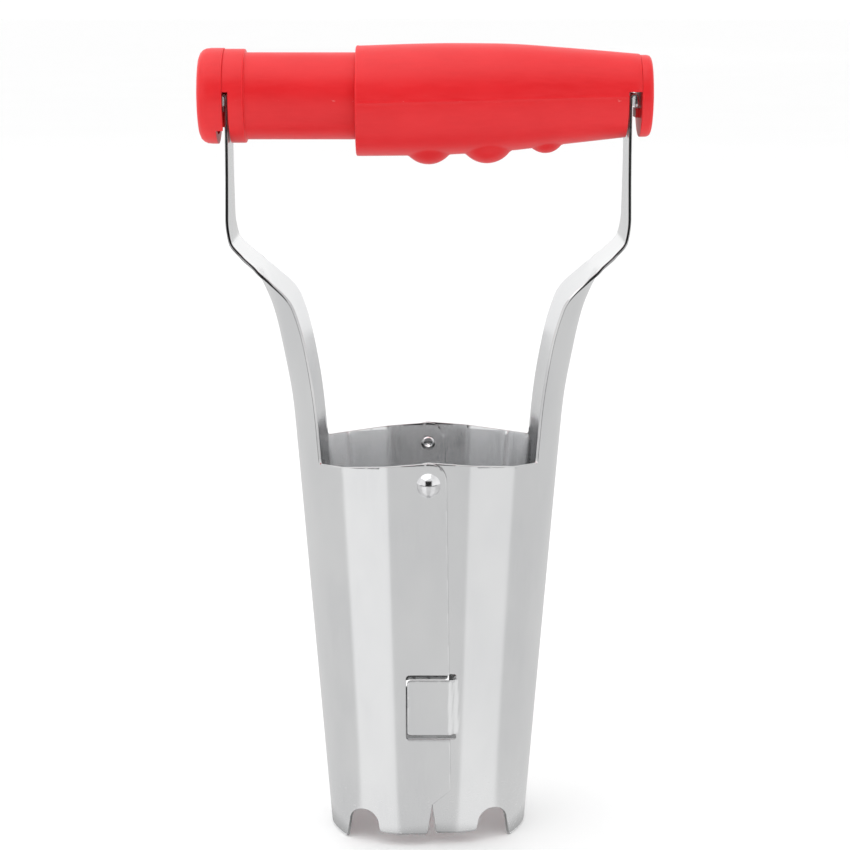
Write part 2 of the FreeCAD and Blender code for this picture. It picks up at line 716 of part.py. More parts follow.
def add_grip():
    """The sleeve that the hand holds: a tapered swell with three finger bumps underneath."""
    body = new_body("grip_sleeve", AXIS)
    quarter = "(grip_start + " + GRIP_FACE + ") / 4"
    sections = [
        ("-grip_start", "-grip_drop", GRIP_BORE + " + grip_mouth_step"),
        ("-grip_start + " + quarter, "-grip_drop * 0.7", GRIP_BELLY),
        ("-grip_start + 2 * " + quarter, "-grip_drop * 0.35", GRIP_BORE + " + grip_palm_step"),
        ("-grip_start + 3 * " + quarter, "0", GRIP_BORE + " + grip_neck_step"),
        (GRIP_FACE, "grip_drop * 0.2", GRIP_END_RADIUS),
    ]
    rings = []
    for index, (across, up, radius) in enumerate(sections):
        ring = new_sketch(body, "grip_ring_%d" % index, "YZ_Plane", across)
        draw_circle(ring, "0", up, radius)
        rings.append(ring)
    swell = body.newObject("PartDesign::AdditiveLoft", "swell")
    swell.Profile = rings[0]
    swell.Sections = rings[1:]
    swell.Closed = False
    swell.Ruled = False

    drop = GRIP_BELLY + " + finger_swell"
    bumps = [
        ("0", drop, "finger_first_radius"),
        ("finger_pitch", drop + " - finger_middle_rise", "finger_middle_radius"),
        ("2 * finger_pitch", drop + " - finger_last_rise", "finger_last_radius"),
    ]
    for index, (across, depth, radius) in enumerate(bumps):
        bump = body.newObject("PartDesign::AdditiveSphere", "finger_bump_%d" % index)
        bump.setExpression("Radius", bound(radius))
        bump.setExpression("Placement.Base.x", bound(across))
        bump.setExpression("Placement.Base.z", bound(radius + " - (" + depth + ")"))

    tube_room = "tube_insertion - grip_start + " + STROKE + " + seat_wall / 2"
    spring_room = "(" + SPRING_RADIUS + " + wire_radius + spring_play / 2)"
    mouth = "-grip_start - fused"
    turned(body, "bores", [
        (mouth, "0"), (mouth, GRIP_BORE), (tube_room, GRIP_BORE),
        (tube_room, spring_room), (SPRING_SEAT, spring_room), (SPRING_SEAT, "0"),
    ], "PartDesign::Groove")
    stub_floor = SPRING_SEAT + " + seat_wall"
    past = GRIP_FACE + " + fused"
    turned(body, "stub", [
        (stub_floor, "0"), (stub_floor, STUB_BORE), (past, STUB_BORE), (past, "0"),
    ], "PartDesign::Groove")
    slot_in = "arm_reach - sheet - slot_play"
    below = "-2 * " + GRIP_END_RADIUS
    through(body, "arm_slot", "PartDesign::Pocket", [
        (slot_in, below), (past, below), (past, "slot_rise"), (slot_in, "slot_rise"),
    ], "4 * " + GRIP_END_RADIUS)
    return body


def add_spring():
    """The compression spring between the tube's wall and the grip's wall."""
    start = "-" + BAND_END + " + seat_wall / 2 + wire_radius + end_play"
    length = SPRING_SEAT + " - wire_radius - (" + start + ")"
    coil = doc.addObject("Part::Helix", "spring_coil")
    coil.setExpression("Radius", bound(SPRING_RADIUS))
    coil.setExpression("Height", bound(length))
    coil.setExpression("Pitch", bound("(" + length + ") / spring_turns"))
    wire = doc.addObject("Part::Circle", "spring_wire")
    wire.setExpression("Radius", bound("wire_radius"))
    wire.Placement = FreeCAD.Placement(Vector(0, 0, 0), Vector(1, 0, 0), 90)
    wire.setExpression("Placement.Base.x", bound(SPRING_RADIUS))
    spring = doc.addObject("Part::Sweep", "return_spring")
    spring.Label = "return_spring"
    spring.Sections = [wire]
    spring.Spine = (coil, [])
    spring.Solid = True
    spring.Frenet = True
    spring.Placement = FreeCAD.Placement(Vector(0, 0, 0), Vector(0, 1, 0), 90)
    spring.setExpression("Placement.Base.x", bound(start))
    spring.setExpression("Placement.Base.z", bound(AXIS))
    return spring


# ---------------------------------------------------------------- build, test and write

stamping = pressed_half()
add_pressed_half("left_half", stamping, 0)
add_pressed_half("right_half", stamping, 180)
add_rivet("front_rivet", -90)
add_rivet("rear_rivet", 90)
add_handle_tube()
add_left_cap()
add_grip()
add_right_cap()
add_spring()
doc.recompute()

NODES = [
    "left_half", "right_half", "front_rivet", "rear_rivet", "handle_tube", "left_end_cap",
    "grip_sleeve", "right_end_cap", "return_spring",
]

for item in doc.Objects:
    if {"Invalid", "Error"} & set(item.State):
        raise RuntimeError(item.Name + " failed: " + ", ".join(item.State))

os.makedirs("parts", exist_ok=True)
for name in NODES:
    piece = doc.getObjectsByLabel(name)[0]
    shape = piece.Shape
    if shape.isNull() or not shape.isValid() or len(shape.Solids) != 1:
        raise RuntimeError("%s is not one sound solid (%d)" % (name, len(shape.Solids)))
    shape.exportStep(os.path.join("parts", name + ".step"))
    print("%-14s %10.1f mm3" % (name, shape.Volume))
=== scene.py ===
import json
import math

import bmesh
import bpy
from mathutils import Matrix, Vector, geometry, kdtree, noise


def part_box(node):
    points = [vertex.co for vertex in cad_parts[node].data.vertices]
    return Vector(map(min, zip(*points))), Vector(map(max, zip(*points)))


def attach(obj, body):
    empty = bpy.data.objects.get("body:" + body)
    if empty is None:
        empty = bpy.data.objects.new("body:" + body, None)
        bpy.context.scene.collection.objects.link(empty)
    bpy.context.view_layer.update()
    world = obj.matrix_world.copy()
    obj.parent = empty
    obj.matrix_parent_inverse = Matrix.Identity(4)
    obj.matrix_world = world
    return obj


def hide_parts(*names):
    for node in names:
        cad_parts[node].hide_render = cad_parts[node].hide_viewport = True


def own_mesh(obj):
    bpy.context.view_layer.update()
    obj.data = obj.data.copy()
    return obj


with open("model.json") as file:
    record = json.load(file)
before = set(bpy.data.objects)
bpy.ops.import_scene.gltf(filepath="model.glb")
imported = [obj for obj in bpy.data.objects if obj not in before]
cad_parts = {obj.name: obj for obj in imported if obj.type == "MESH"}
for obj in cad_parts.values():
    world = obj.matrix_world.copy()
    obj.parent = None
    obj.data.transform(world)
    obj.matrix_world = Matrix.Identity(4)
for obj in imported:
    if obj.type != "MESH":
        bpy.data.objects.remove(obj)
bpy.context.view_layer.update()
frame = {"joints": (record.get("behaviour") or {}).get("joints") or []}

# Lengths in this script are millimetres; every mesh is scaled to metres as it is made.
MM = 0.001


# ---------------------------------------------------------------- pressed steel halves
# Two identical stampings of 0.9 mm bright stainless sheet.  A flat blank is cut with its notch,
# tongue, scallops and rivet holes, then bent into half a barrel whose side runs up into the arm.
# The second stamping is turned half round, so each laps outside at its own front.

SHEET = 0.9
LAP_PLAY = 0.3
RIM = 111.0
SEAM_TOP = 112.9
RIM_HALF_WIDTH = 37.0
RIM_HALF_DEPTH = 29.4
FOOT_WIDTH_SHARE = 28.3 / 37.0
FOOT_DEPTH_SHARE = 22.5 / 29.4
FACET_X = 11.5
SHOULDER_X, SHOULDER_Y = 24.0, 25.5
CORNER_X, CORNER_Y = 30.2, 20.9
LAP_AT_FOOT, LAP_AT_RIM = 6.6, 5.0
LAP_CORNER = 5.0
BEND_SOFTNESS = 1.3
TOOTH_STEP = 3.5
VEE_TOP = 12.5
VEE_OFFSET = 1.0
VEE_HALF = 1.2
SCALLOP_TOP, SCALLOP_HALF, SCALLOP_TURN = 10.2, 5.9, 0.891
NOTCH_LOW, NOTCH_HIGH, NOTCH_REACH = 32.2, 51.7, 6.3
SLIT = 1.65
TONGUE_END = NOTCH_REACH - 0.35
TONGUE_ROOT = -TONGUE_END - 1.8
RIVET_LEVEL = 106.8
RIVET_HOLE = 1.55
KNEE = 175.5
ARM_REACH = 55.8
TIP_HALF = 7.5
ROLL_GAP = 0.8
ROLL_TOP = 211.5
HOOK_LEG = 2.5
CUT_ROUNDING = 0.1
ARM_ROOT_SPREAD = 0.9
SQUARE_ACROSS, SQUARE_UP = 0.9, 1.1      # the blank's mesh squares
ROLL_ROW = 0.25                          # closer rows where the tip is rolled

# reach, level and width as shares between rim and knee, with the lean in degrees and the curl
ARM_KEYS = [
    (0.000, 0.000, 0, 1.00, 1.00),
    (0.072, 0.233, 4, 0.99, 0.89),
    (0.200, 0.450, 12, 1.01, 0.78),
    (0.328, 0.620, 20, 0.91, 0.70),
    (0.478, 0.741, 35, 0.38, 0.60),
    (0.578, 0.806, 42, 0.07, 0.53),
    (0.778, 0.868, 46, 0.00, 0.43),
    (0.950, 0.930, 25, 0.00, 0.35),
    (1.000, 1.030, 3, 0.00, 0.25),
]


def between(low, high, share):
    return low + (high - low) * share


def arm_columns():
    """Reach, level, lean, curl and half width at the keys, and how far along the strip each is."""
    flat = 0.05
    top = ROLL_TOP - ROLL_GAP / 2 - SHEET
    rows = [
        (between(RIM_HALF_WIDTH, ARM_REACH, out), between(RIM, KNEE, up), lean,
         max(flat, (RIM_HALF_WIDTH - CORNER_X) * deep), between(TIP_HALF, CORNER_Y, width))
        for out, up, lean, deep, width in ARM_KEYS
    ]
    rows.append((ARM_REACH, between(KNEE, top, 0.45), 0, flat, between(TIP_HALF, CORNER_Y, 0.08)))
    rows.append((ARM_REACH, top, 0, flat, TIP_HALF))
    stops = [0.0]
    for before, after in zip(rows, rows[1:]):
        stops.append(stops[-1] + math.dist(before[:2], after[:2]))
    return stops, list(zip(*rows))


ARM_STOPS, ARM_SHAPE = arm_columns()
ARM_LENGTH = ARM_STOPS[-1]
ROLL_LENGTH = math.pi * (ROLL_GAP + SHEET) / 2
STRIP_END = RIM + ARM_LENGTH + ROLL_LENGTH + HOOK_LEG


def eased(stops, values, place):
    """Smooth value between stops: a cubic that never overshoots its neighbours."""
    gaps = [b - a for a, b in zip(stops, stops[1:])]
    slopes = [(b - a) / gap for a, b, gap in zip(values, values[1:], gaps)]
    leans = [slopes[0]]
    for one, two in zip(slopes, slopes[1:]):
        leans.append(2 * one * two / (one + two) if one * two > 0 else 0.0)
    leans.append(slopes[-1])
    index = max(n for n in range(len(gaps)) if n == 0 or place >= stops[n])
    step = min(1.0, (place - stops[index]) / gaps[index])
    start, end = values[index], values[index + 1]
    pull, push = leans[index] * gaps[index], leans[index + 1] * gaps[index]
    return (start + pull * step + (3 * (end - start) - 2 * pull - push) * step ** 2
            + (2 * (start - end) + pull + push) * step ** 3)


def arm_half_width(climb):
    return eased(ARM_STOPS, ARM_SHAPE[4], min(climb, ARM_LENGTH))


def arm_point(across, climb):
    """A point on the arm's outer face, climb being the way along the strip from the rim."""
    if climb <= ARM_LENGTH:
        reach, level, lean, curl, half = [eased(ARM_STOPS, row, climb) for row in ARM_SHAPE]
        sag = curl * (across / half) ** 2
        lean = math.radians(lean)
        return Vector((-reach + math.cos(lean) * sag, across, level + math.sin(lean) * sag))
    past = climb - ARM_LENGTH
    turn = min(past / ROLL_LENGTH, 1.0) * math.pi
    drop = max(0.0, past - ROLL_LENGTH)
    hub_level = ROLL_TOP - ROLL_GAP / 2 - SHEET
    across_hub = -ARM_REACH - ROLL_GAP / 2 * (1 - math.cos(turn))
    return Vector((across_hub, across, hub_level + ROLL_GAP / 2 * math.sin(turn) - drop))


def wide(level):
    return between(FOOT_WIDTH_SHARE, 1.0, level / RIM)


def deep(level):
    return between(FOOT_DEPTH_SHARE, 1.0, level / RIM)


def lap(level):
    return between(LAP_AT_FOOT, LAP_AT_RIM, level / RIM)


def unrolled(x, level):
    """Distance from the middle of the side, on the blank, of a point at x on the front or back."""
    return CORNER_Y * deep(level) + CORNER_X * wide(level) + x


def facet_depth(x, level):
    """How far out the front or back stands at x: three flats, and level past the last crease."""
    stops = [CORNER_X, SHOULDER_X, FACET_X]
    depths = [CORNER_Y, SHOULDER_Y, RIM_HALF_DEPTH]
    place = -x / wide(level)
    for n in (0, 1):
        if place > stops[n + 1]:
            share = (stops[n] - place) / (stops[n] - stops[n + 1])
            return between(depths[n], depths[n + 1], share) * deep(level)
    return RIM_HALF_DEPTH * deep(level)


def creased_point(across, level):
    """A point of the barrel's outer face, with sharp creases."""
    corner = CORNER_Y * deep(level)
    if abs(across) <= corner:
        curl = (RIM_HALF_WIDTH - CORNER_X) * wide(level)
        x = -RIM_HALF_WIDTH * wide(level) + curl * (across / corner) ** 2
        return Vector((x, across, level))
    x = abs(across) - corner - CORNER_X * wide(level)
    return Vector((x, math.copysign(facet_depth(x, level), across), level))


def tongue_lift(across, level):
    """How far the tongue is pressed outwards, after a short ramp, to lie flush."""
    inside = NOTCH_LOW + SLIT / 2 < level < NOTCH_HIGH - SLIT / 2
    if across < 0 or not inside:
        return 0.0
    past = across - unrolled(TONGUE_ROOT, level)
    share = min(1.0, max(0.0, past / (-TONGUE_END - TONGUE_ROOT)))
    return (SHEET + LAP_PLAY) * share * share * (3 - 2 * share)


def barrel_point(across, level):
    """A point of the barrel's outer face, its creases bent round a soft tool."""
    below = min(1.0, max(0.0, (RIM - level) / 4))
    beside = min(1.0, max(0.0, (abs(across) - CORNER_Y * deep(level) - 2) / 3))
    reach = BEND_SOFTNESS * max(below, beside)
    steps = [reach * n / 3 for n in range(-3, 4)]
    point = sum((creased_point(across + step, level) for step in steps), Vector()) / len(steps)
    point.y += tongue_lift(across, level)
    return point


def bent(across, up):
    """Where a point of the flat blank ends up on the outer face of the left half."""
    on_arm = up > RIM and abs(across) <= arm_half_width(up - RIM) + ARM_ROOT_SPREAD
    point = arm_point(across, up - RIM) if on_arm else barrel_point(across, up)
    return point - Vector((0, (SHEET + LAP_PLAY) / 2, 0))


def rounded(corners):
    """Points of an outline whose corners carry a radius: (across, up, radius)."""
    points = []
    count = len(corners)
    for n, (across, up, radius) in enumerate(corners):
        here = Vector((across, up))
        if radius == 0:
            points.append(here)
            continue
        before = Vector(corners[n - 1][:2]) - here
        after = Vector(corners[(n + 1) % count][:2]) - here
        turn = math.pi - before.angle(after)
        trim = min(radius * math.tan(turn / 2), 0.49 * before.length, 0.49 * after.length)
        start = here + before.normalized() * trim
        end = here + after.normalized() * trim
        for step in range(6):
            share = step / 5
            points.append(start.lerp(here, share).lerp(here.lerp(end, share), share))
    return points


def spaced(points, step):
    """The same closed outline with no side longer than step."""
    filled = []
    for start, end in zip(points, points[1:] + points[:1]):
        if (end - start).length < 1e-4:
            continue
        parts = max(1, math.ceil((end - start).length / step))
        filled += [start.lerp(end, n / parts) for n in range(parts)]
    return filled


def blank_side(vee, lock):
    """One side of the blank from the arm's tip to the middle of the side tooth.

    vee is where the V notch stands, and lock the corners of the notch or the tongue.
    """
    def at(x, level, radius=0.0):
        return (unrolled(x, level), level, radius)

    side = [(TIP_HALF, STRIP_END, 1.0)]
    climb = STRIP_END - RIM - 2
    while climb > 2:
        side.append((arm_half_width(climb), RIM + climb, 0.0))
        climb -= 1.2
    side += [(CORNER_Y, RIM, 0.9), at(-SHOULDER_X, RIM, 4.0), at(0, SEAM_TOP)]
    for n in range(1, 9):
        angle = math.pi / 2 * n / 8
        side.append(at(LAP_CORNER * math.sin(angle) + lap(RIM) - LAP_CORNER,
                       SEAM_TOP - LAP_CORNER * (1 - math.cos(angle))))
    side += [at(*corner) for corner in lock]
    slope = (LAP_AT_FOOT - VEE_OFFSET) / LAP_AT_FOOT
    foot = VEE_TOP + slope * (lap(VEE_TOP) - vee)
    hub = -SHOULDER_X * wide(0)
    radius = 0.8 * SCALLOP_HALF
    neck = SCALLOP_TOP - radius
    side += [at(lap(foot), foot, 1.0), at(vee, VEE_TOP, 0.5), at(vee - VEE_HALF, TOOTH_STEP, 1.2)]
    side.append(at(hub + 0.87 * SCALLOP_HALF * SCALLOP_TURN, TOOTH_STEP, 1.4))
    for n in range(13):
        angle = math.pi * n / 12
        side.append(at(hub + radius * SCALLOP_TURN * math.cos(angle),
                       neck + radius * math.sin(angle)))
    side.append(at(hub - SCALLOP_HALF * SCALLOP_TURN, 0, 1.6))
    return side


def cut_blank():
    """The flat blank as a mesh of even squares, in the plane (across, up)."""
    notch = [
        (lap(NOTCH_HIGH), NOTCH_HIGH, 0.3), (-NOTCH_REACH, NOTCH_HIGH, 1.3),
        (-NOTCH_REACH, NOTCH_LOW, 1.3), (lap(NOTCH_LOW), NOTCH_LOW, 0.3),
    ]
    high, low = NOTCH_HIGH - SLIT, NOTCH_LOW + SLIT
    tongue = [
        (lap(NOTCH_HIGH), NOTCH_HIGH, 0.3), (TONGUE_ROOT, NOTCH_HIGH, 0.8),
        (TONGUE_ROOT, high, 0.8), (TONGUE_END, high, 1.2), (TONGUE_END, low, 1.2),
        (TONGUE_ROOT, low, 0.8), (TONGUE_ROOT, NOTCH_LOW, 0.8), (lap(NOTCH_LOW), NOTCH_LOW, 0.3),
    ]
    front = [(-across, up, radius) for across, up, radius in blank_side(VEE_OFFSET, notch)]
    back = blank_side(-VEE_OFFSET, tongue)
    outline = spaced(rounded(front + back[::-1]), 0.5)
    holes = []
    for side in (-1, 1):
        hub = Vector((side * unrolled(0, RIVET_LEVEL), RIVET_LEVEL))
        holes.append([hub + Vector((math.cos(a), math.sin(a))) * RIVET_HOLE
                      for a in (math.tau * n / 20 for n in range(20))])

    points, edges = list(outline), []
    for hole in holes:
        first = len(points)
        edges += [(first + n, first + (n + 1) % len(hole)) for n in range(len(hole))]
        points += hole
    near = kdtree.KDTree(len(points))
    for n, point in enumerate(points):
        near.insert(point.to_3d(), n)
    near.balance()
    rows, up = [], 0.8
    while up < STRIP_END:
        rows.append(up)
        on_roll = RIM + ARM_LENGTH - 1 < up < STRIP_END - HOOK_LEG + 1
        up += ROLL_ROW if on_roll else SQUARE_UP
    reach = unrolled(LAP_AT_FOOT, 0) + 12
    last = int(reach / SQUARE_ACROSS)
    columns = [SQUARE_ACROSS * n for n in range(-last, last + 1)]
    for up in rows:
        limit = reach if up < SEAM_TOP else arm_half_width(up - RIM)
        for across in columns:
            spot = Vector((across, up))
            if abs(across) < limit and near.find(spot.to_3d())[2] > 0.42:
                points.append(spot)

    corners, _, faces, *_ = geometry.delaunay_2d_cdt(
        points, edges, [list(range(len(outline)))], 1, 1e-5)
    blank = bmesh.new()
    made = [blank.verts.new(corner.to_3d()) for corner in corners]
    hubs = [sum(hole, Vector((0, 0))) / len(hole) for hole in holes]
    for face in faces:
        middle = sum((corners[n] for n in face), Vector((0, 0))) / len(face)
        if min((middle - hub).length for hub in hubs) > RIVET_HOLE * 0.98:
            blank.faces.new([made[n] for n in face])
    bmesh.ops.delete(blank, geom=[v for v in blank.verts if not v.link_faces], context="VERTS")
    bmesh.ops.join_triangles(blank, faces=blank.faces[:], angle_face_threshold=0.1,
                             angle_shape_threshold=0.6)
    return blank


def settled(piece):
    """Turns a piece's modifiers into plain mesh."""
    bpy.context.view_layer.update()
    graph = bpy.context.evaluated_depsgraph_get()
    mesh = bpy.data.meshes.new_from_object(
        piece.evaluated_get(graph), preserve_all_data_layers=True, depsgraph=graph)
    piece.modifiers.clear()
    piece.data = mesh
    return piece


def new_piece(name, work):
    """An object in the scene from a mesh under construction, in metres."""
    mesh = bpy.data.meshes.new(name)
    bmesh.ops.scale(work, vec=(MM, MM, MM), verts=work.verts[:])
    work.to_mesh(mesh)
    work.free()
    mesh.shade_smooth()
    piece = bpy.data.objects.new(name, mesh)
    bpy.context.scene.collection.objects.link(piece)
    return piece


def add(tree, kind, inputs=None, **settings):
    """A shader node with its settings and its input values or links."""
    node = tree.nodes.new(kind)
    for key, value in settings.items():
        setattr(node, key, value)
    for key, value in (inputs or {}).items():
        if isinstance(value, bpy.types.NodeSocket):
            tree.links.new(value, node.inputs[key])
        else:
            node.inputs[key].default_value = value
    return node


def new_material(name):
    material = bpy.data.materials.new(name)
    material.use_nodes = True
    tree = material.node_tree
    return material, tree, tree.nodes["Principled BSDF"]


def scaled_place(tree, scale):
    """Object coordinates stretched by a scale per axis."""
    place = add(tree, "ShaderNodeTexCoord").outputs["Object"]
    return add(tree, "ShaderNodeMapping", {"Vector": place, "Scale": scale}).outputs["Vector"]


def noise_field(tree, scale, detail=4.0, roughness=0.55):
    place = scaled_place(tree, scale)
    return add(tree, "ShaderNodeTexNoise", {
        "Vector": place, "Scale": 1.0, "Detail": detail, "Roughness": roughness,
    }).outputs["Fac"]


def ranged(tree, value, low, high, start=0.3, end=0.7):
    return add(tree, "ShaderNodeMapRange", {
        "Value": value, "From Min": start, "From Max": end, "To Min": low, "To Max": high,
    }).outputs["Result"]


def blended(tree, share, first, second):
    return add(tree, "ShaderNodeMix", {0: share, 6: first, 7: second},
               data_type="RGBA").outputs[2]


def maths(tree, operation, first, second):
    return add(tree, "ShaderNodeMath", {0: first, 1: second}, operation=operation).outputs[0]


def sheet_steel(name, dark, light, low_rough, high_rough):
    """Bright rolled stainless: rolling lines up the sheet, cloudy sheen, scuffed at the foot."""
    material, tree, shader = new_material(name)
    lines = noise_field(tree, (2600, 2600, 60), 3.0)
    clouds = noise_field(tree, (55, 55, 30), 3.0)
    grain = noise_field(tree, (9000, 9000, 4000), 2.0)
    scuffs = noise_field(tree, (700, 700, 2400), 6.0, 0.7)
    height = add(tree, "ShaderNodeSeparateXYZ",
                 {0: add(tree, "ShaderNodeTexCoord").outputs["Object"]}).outputs["Z"]
    foot = ranged(tree, height, 1.0, 0.0, 0.002, 0.03)
    worn = maths(tree, "MULTIPLY", ranged(tree, scuffs, 0.0, 1.0, 0.60, 0.66), foot)
    shade = blended(tree, ranged(tree, clouds, 0.0, 1.0), dark, light)
    streaked = blended(tree, ranged(tree, lines, 0.0, 0.35), shade, light)
    colour = blended(tree, maths(tree, "MULTIPLY", worn, 0.7), streaked, (0.95, 0.95, 0.95, 1))
    tree.links.new(colour, shader.inputs["Base Color"])
    sheen = maths(tree, "ADD", ranged(tree, clouds, low_rough, high_rough),
                  ranged(tree, lines, -0.03, 0.03))
    rough = maths(tree, "ADD", sheen, maths(tree, "MULTIPLY", worn, 0.25))
    tree.links.new(rough, shader.inputs["Roughness"])
    relief = maths(tree, "ADD", maths(tree, "MULTIPLY", lines, 0.7),
                   maths(tree, "MULTIPLY", grain, 0.5))
    bump = add(tree, "ShaderNodeBump", {"Height": relief, "Strength": 0.25, "Distance": 0.00001})
    tree.links.new(bump.outputs["Normal"], shader.inputs["Normal"])
    shader.inputs["Metallic"].default_value = 1.0
    return material


sheet_face = sheet_steel("bright_sheet", (0.745, 0.75, 0.76, 1), (0.825, 0.828, 0.83, 1),
                         0.14, 0.22)
sheet_edge = sheet_steel("sheared_edge", (0.45, 0.45, 0.46, 1), (0.66, 0.66, 0.66, 1),
                         0.08, 0.18)


def pressed_half():
    """Bends the blank, gives it its thickness inwards and breaks its cut edges."""
    work = cut_blank()
    for corner in work.verts:
        corner.co = bent(corner.co.x, corner.co.y)
    bmesh.ops.reverse_faces(work, faces=work.faces[:])
    piece = new_piece("left_pressing", work)
    piece.data.materials.append(sheet_face)
    piece.data.materials.append(sheet_edge)
    wall = piece.modifiers.new("wall", "SOLIDIFY")
    wall.thickness = SHEET * MM
    wall.offset = -1.0
    wall.use_even_offset = True
    wall.material_offset_rim = 1
    edges = piece.modifiers.new("cut edges", "BEVEL")
    edges.width = CUT_ROUNDING * MM
    edges.segments = 2
    edges.limit_method = "ANGLE"
    edges.angle_limit = math.radians(50)
    edges.use_clamp_overlap = False
    edges.material = 1
    shading = piece.modifiers.new("shading", "WEIGHTED_NORMAL")
    shading.keep_sharp = False
    return settled(piece)


left_pressing = pressed_half()
right_pressing = bpy.data.objects.new("right_pressing", left_pressing.data.copy())
bpy.context.scene.collection.objects.link(right_pressing)
right_pressing.data.transform(Matrix.Rotation(math.pi, 4, "Z"))
for piece, node, body in ((left_pressing, "left_half", "left_jaw"),
                          (right_pressing, "right_half", "right_jaw")):
    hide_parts(node)
    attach(piece, body)


# ---------------------------------------------------------------- rivets
# Two semi-tubular steel rivets, one at the front and one at the back, just under the rim.  The
# polished dome sits outside; the tail is rolled over the inner flange and leaves a small dimple.

HEAD_RADIUS, HEAD_HEIGHT = 3.35, 1.9
TAIL_RADIUS, TAIL_HEIGHT = 2.1, 0.9
RIVET_RADIUS = 1.5


def turned(outline, segments):
    """An outline of (along, radius) turned about the X axis into a closed skin."""
    work = bmesh.new()
    rings = []
    for along, radius in outline:
        if radius < 1e-6:
            rings.append([work.verts.new((along, 0, 0))])
            continue
        rings.append([work.verts.new((along, radius * math.sin(a), radius * math.cos(a)))
                      for a in (math.tau * n / segments for n in range(segments))])
    for one, two in zip(rings, rings[1:] + rings[:1]):
        if len(one) == len(two) == 1:
            continue
        for n in range(segments):
            after = (n + 1) % segments
            corners = [one[n % len(one)], one[after % len(one)],
                       two[after % len(two)], two[n % len(two)]]
            work.faces.new(list(dict.fromkeys(corners)))
    bmesh.ops.recalc_face_normals(work, faces=work.faces[:])
    return work


def bright_rivet():
    """Polished steel with a cloudy tone and a few fine nicks."""
    material, tree, shader = new_material("rivet_bright")
    nicks = noise_field(tree, (1500, 1500, 1500), 5.0, 0.7)
    clouds = noise_field(tree, (400, 400, 400), 2.0)
    colour = blended(tree, ranged(tree, clouds, 0.0, 1.0), (0.66, 0.66, 0.67, 1),
                     (0.84, 0.84, 0.85, 1))
    tree.links.new(colour, shader.inputs["Base Color"])
    tree.links.new(ranged(tree, nicks, 0.07, 0.2), shader.inputs["Roughness"])
    bump = add(tree, "ShaderNodeBump", {"Height": nicks, "Strength": 0.2, "Distance": 0.00002})
    tree.links.new(bump.outputs["Normal"], shader.inputs["Normal"])
    shader.inputs["Metallic"].default_value = 1.0
    return material


rivet_finish = bright_rivet()


def add_rivet(node, name, side):
    """side is -1 at the front and +1 at the back."""
    low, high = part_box(node)
    outer = (max(abs(low.y), abs(high.y))) / MM
    inner = (min(abs(low.y), abs(high.y))) / MM
    seat, tail_seat = outer - HEAD_HEIGHT, inner + TAIL_HEIGHT
    dome_radius = (HEAD_RADIUS ** 2 + HEAD_HEIGHT ** 2) / (2 * HEAD_HEIGHT)
    reach = math.asin(HEAD_RADIUS / dome_radius)
    dome = []
    for n in range(15):
        angle = reach * (1 - n / 14)
        dome.append((outer - dome_radius * (1 - math.cos(angle)), dome_radius * math.sin(angle)))
    dome[0] = (seat + 0.12, HEAD_RADIUS)
    tail = [
        (tail_seat, TAIL_RADIUS * 0.96), (tail_seat - 0.25, TAIL_RADIUS),
        (tail_seat - 0.6, TAIL_RADIUS * 0.93), (inner + 0.06, TAIL_RADIUS * 0.78),
        (inner, TAIL_RADIUS * 0.6), (inner + 0.08, TAIL_RADIUS * 0.46),
        (inner + 0.5, TAIL_RADIUS * 0.3), (inner + 0.75, TAIL_RADIUS * 0.1), (inner + 0.78, 0),
    ]
    outline = tail[::-1] + [(tail_seat, RIVET_RADIUS), (seat, RIVET_RADIUS),
                            (seat, HEAD_RADIUS * 0.985)] + dome
    work = turned(outline, 72)
    turn = Matrix.Rotation(side * math.pi / 2, 4, "Z")
    level = Matrix.Translation((0, 0, (low.z + high.z) / 2 / MM))
    bmesh.ops.transform(work, matrix=level @ turn, verts=work.verts[:])
    piece = new_piece(name, work)
    piece.data.set_sharp_from_angle(angle=math.radians(50))
    piece.data.materials.append(rivet_finish)
    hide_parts(node)
    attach(piece, "right_jaw")


add_rivet("front_rivet", "front_rivet_domed", -1)
add_rivet("rear_rivet", "rear_rivet_domed", 1)


# ---------------------------------------------------------------- handle tube
# The sliding half of the handle: one red plastic moulding with a thicker band at its outer end,
# a slot across the band for the arm, and a wall inside that the spring pushes on.

HANDLE_LEVEL = sum(corner.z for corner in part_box("right_end_cap")) / 2 / MM
TUBE_START, TUBE_END = (corner.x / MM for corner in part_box("handle_tube"))
TUBE_RADIUS, TUBE_BORE = 11.9, 9.9
BAND_RADIUS, BAND_WIDTH = 12.85, 5.8
SPRING_WALL = 2.0
SLOT_TOP = 1.5
SLOT_PLAY = 0.45


